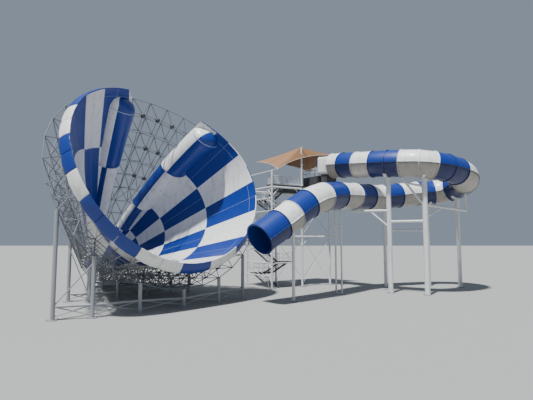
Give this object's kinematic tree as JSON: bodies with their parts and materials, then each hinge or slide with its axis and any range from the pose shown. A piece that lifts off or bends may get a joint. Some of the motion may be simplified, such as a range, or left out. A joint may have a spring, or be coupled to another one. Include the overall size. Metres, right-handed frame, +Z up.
{
  "type": "funnel water slide with launch tower, scale model at 1:2",
  "caption": "Open-topped funnel raft slide in a space-frame cage, fed by an enclosed tube flume that winds down from a canopied launch tower; scale model at 1:2.",
  "frame": {"origin": "bottom centre of the base plate under the tower's near corner post, on the floor", "axes": "+X along the ride from the funnel to the far bend, +Y away from the viewer of the picture, +Z up"},
  "size_m": [25.19, 15.8482, 10.2621],
  "materials": {
    "fibreglass_blue": "blue gel coat, glossy",
    "fibreglass_white": "white gel coat, glossy",
    "cage_steel": "grey galvanised and painted bars",
    "white_steel": "off-white paint on round steel",
    "deck_steel": "dark grey painted steel",
    "canopy_fabric": "tan woven membrane, matt"
  },
  "bodies": {
    "root": {"funnel_stave_1": "fibreglass_blue", "funnel_stave_2": "fibreglass_white", "funnel_stave_3": "fibreglass_blue", "funnel_stave_4": "fibreglass_white", "funnel_stave_5": "fibreglass_blue", "funnel_stave_6": "fibreglass_white", "funnel_stave_7": "fibreglass_blue", "funnel_stave_8": "fibreglass_white", "mouth_lip_1": "fibreglass_white", "mouth_lip_2": "fibreglass_blue", "mouth_lip_3": "fibreglass_white", "edge_roll_right": "fibreglass_white", "edge_roll_left": "fibreglass_white", "exit_collar": "fibreglass_blue", "exit_trough": "fibreglass_blue", "tube_01": "fibreglass_white", "tube_02": "fibreglass_blue", "tube_03": "fibreglass_white", "tube_04": "fibreglass_blue", "tube_05": "fibreglass_white", "tube_06": "fibreglass_blue", "tube_07": "fibreglass_white", "tube_08": "fibreglass_blue", "tube_09": "fibreglass_white", "tube_10": "fibreglass_blue", "tube_11": "fibreglass_white", "tube_12": "fibreglass_blue", "tube_13": "fibreglass_white", "tube_14": "fibreglass_blue", "tube_15": "fibreglass_white", "tube_16": "fibreglass_blue", "tube_17": "fibreglass_white", "tube_18": "fibreglass_blue", "tube_19": "fibreglass_white", "tube_20": "fibreglass_blue", "inlet_box": "fibreglass_white", "cage_sector_1": "cage_steel", "cage_sector_2": "cage_steel", "cage_sector_3": "cage_steel", "cage_sector_4": "cage_steel", "cage_sector_5": "cage_steel", "cage_sector_6": "cage_steel", "cage_sector_7": "cage_steel", "cage_sector_8": "cage_steel", "trestle_1": "white_steel", "trestle_2": "white_steel", "trestle_3": "white_steel", "main_columns": "white_steel", "far_columns": "white_steel", "bend_column": "white_steel", "twin_columns": "white_steel", "near_column": "white_steel", "tower_platform": "deck_steel", "tower_frame": "white_steel", "stairs": "deck_steel", "guard_rail_front": "white_steel", "guard_rail_back": "white_steel", "canopy_mast": "white_steel", "canopy": "canopy_fabric"}
  },
  "joints": []
}
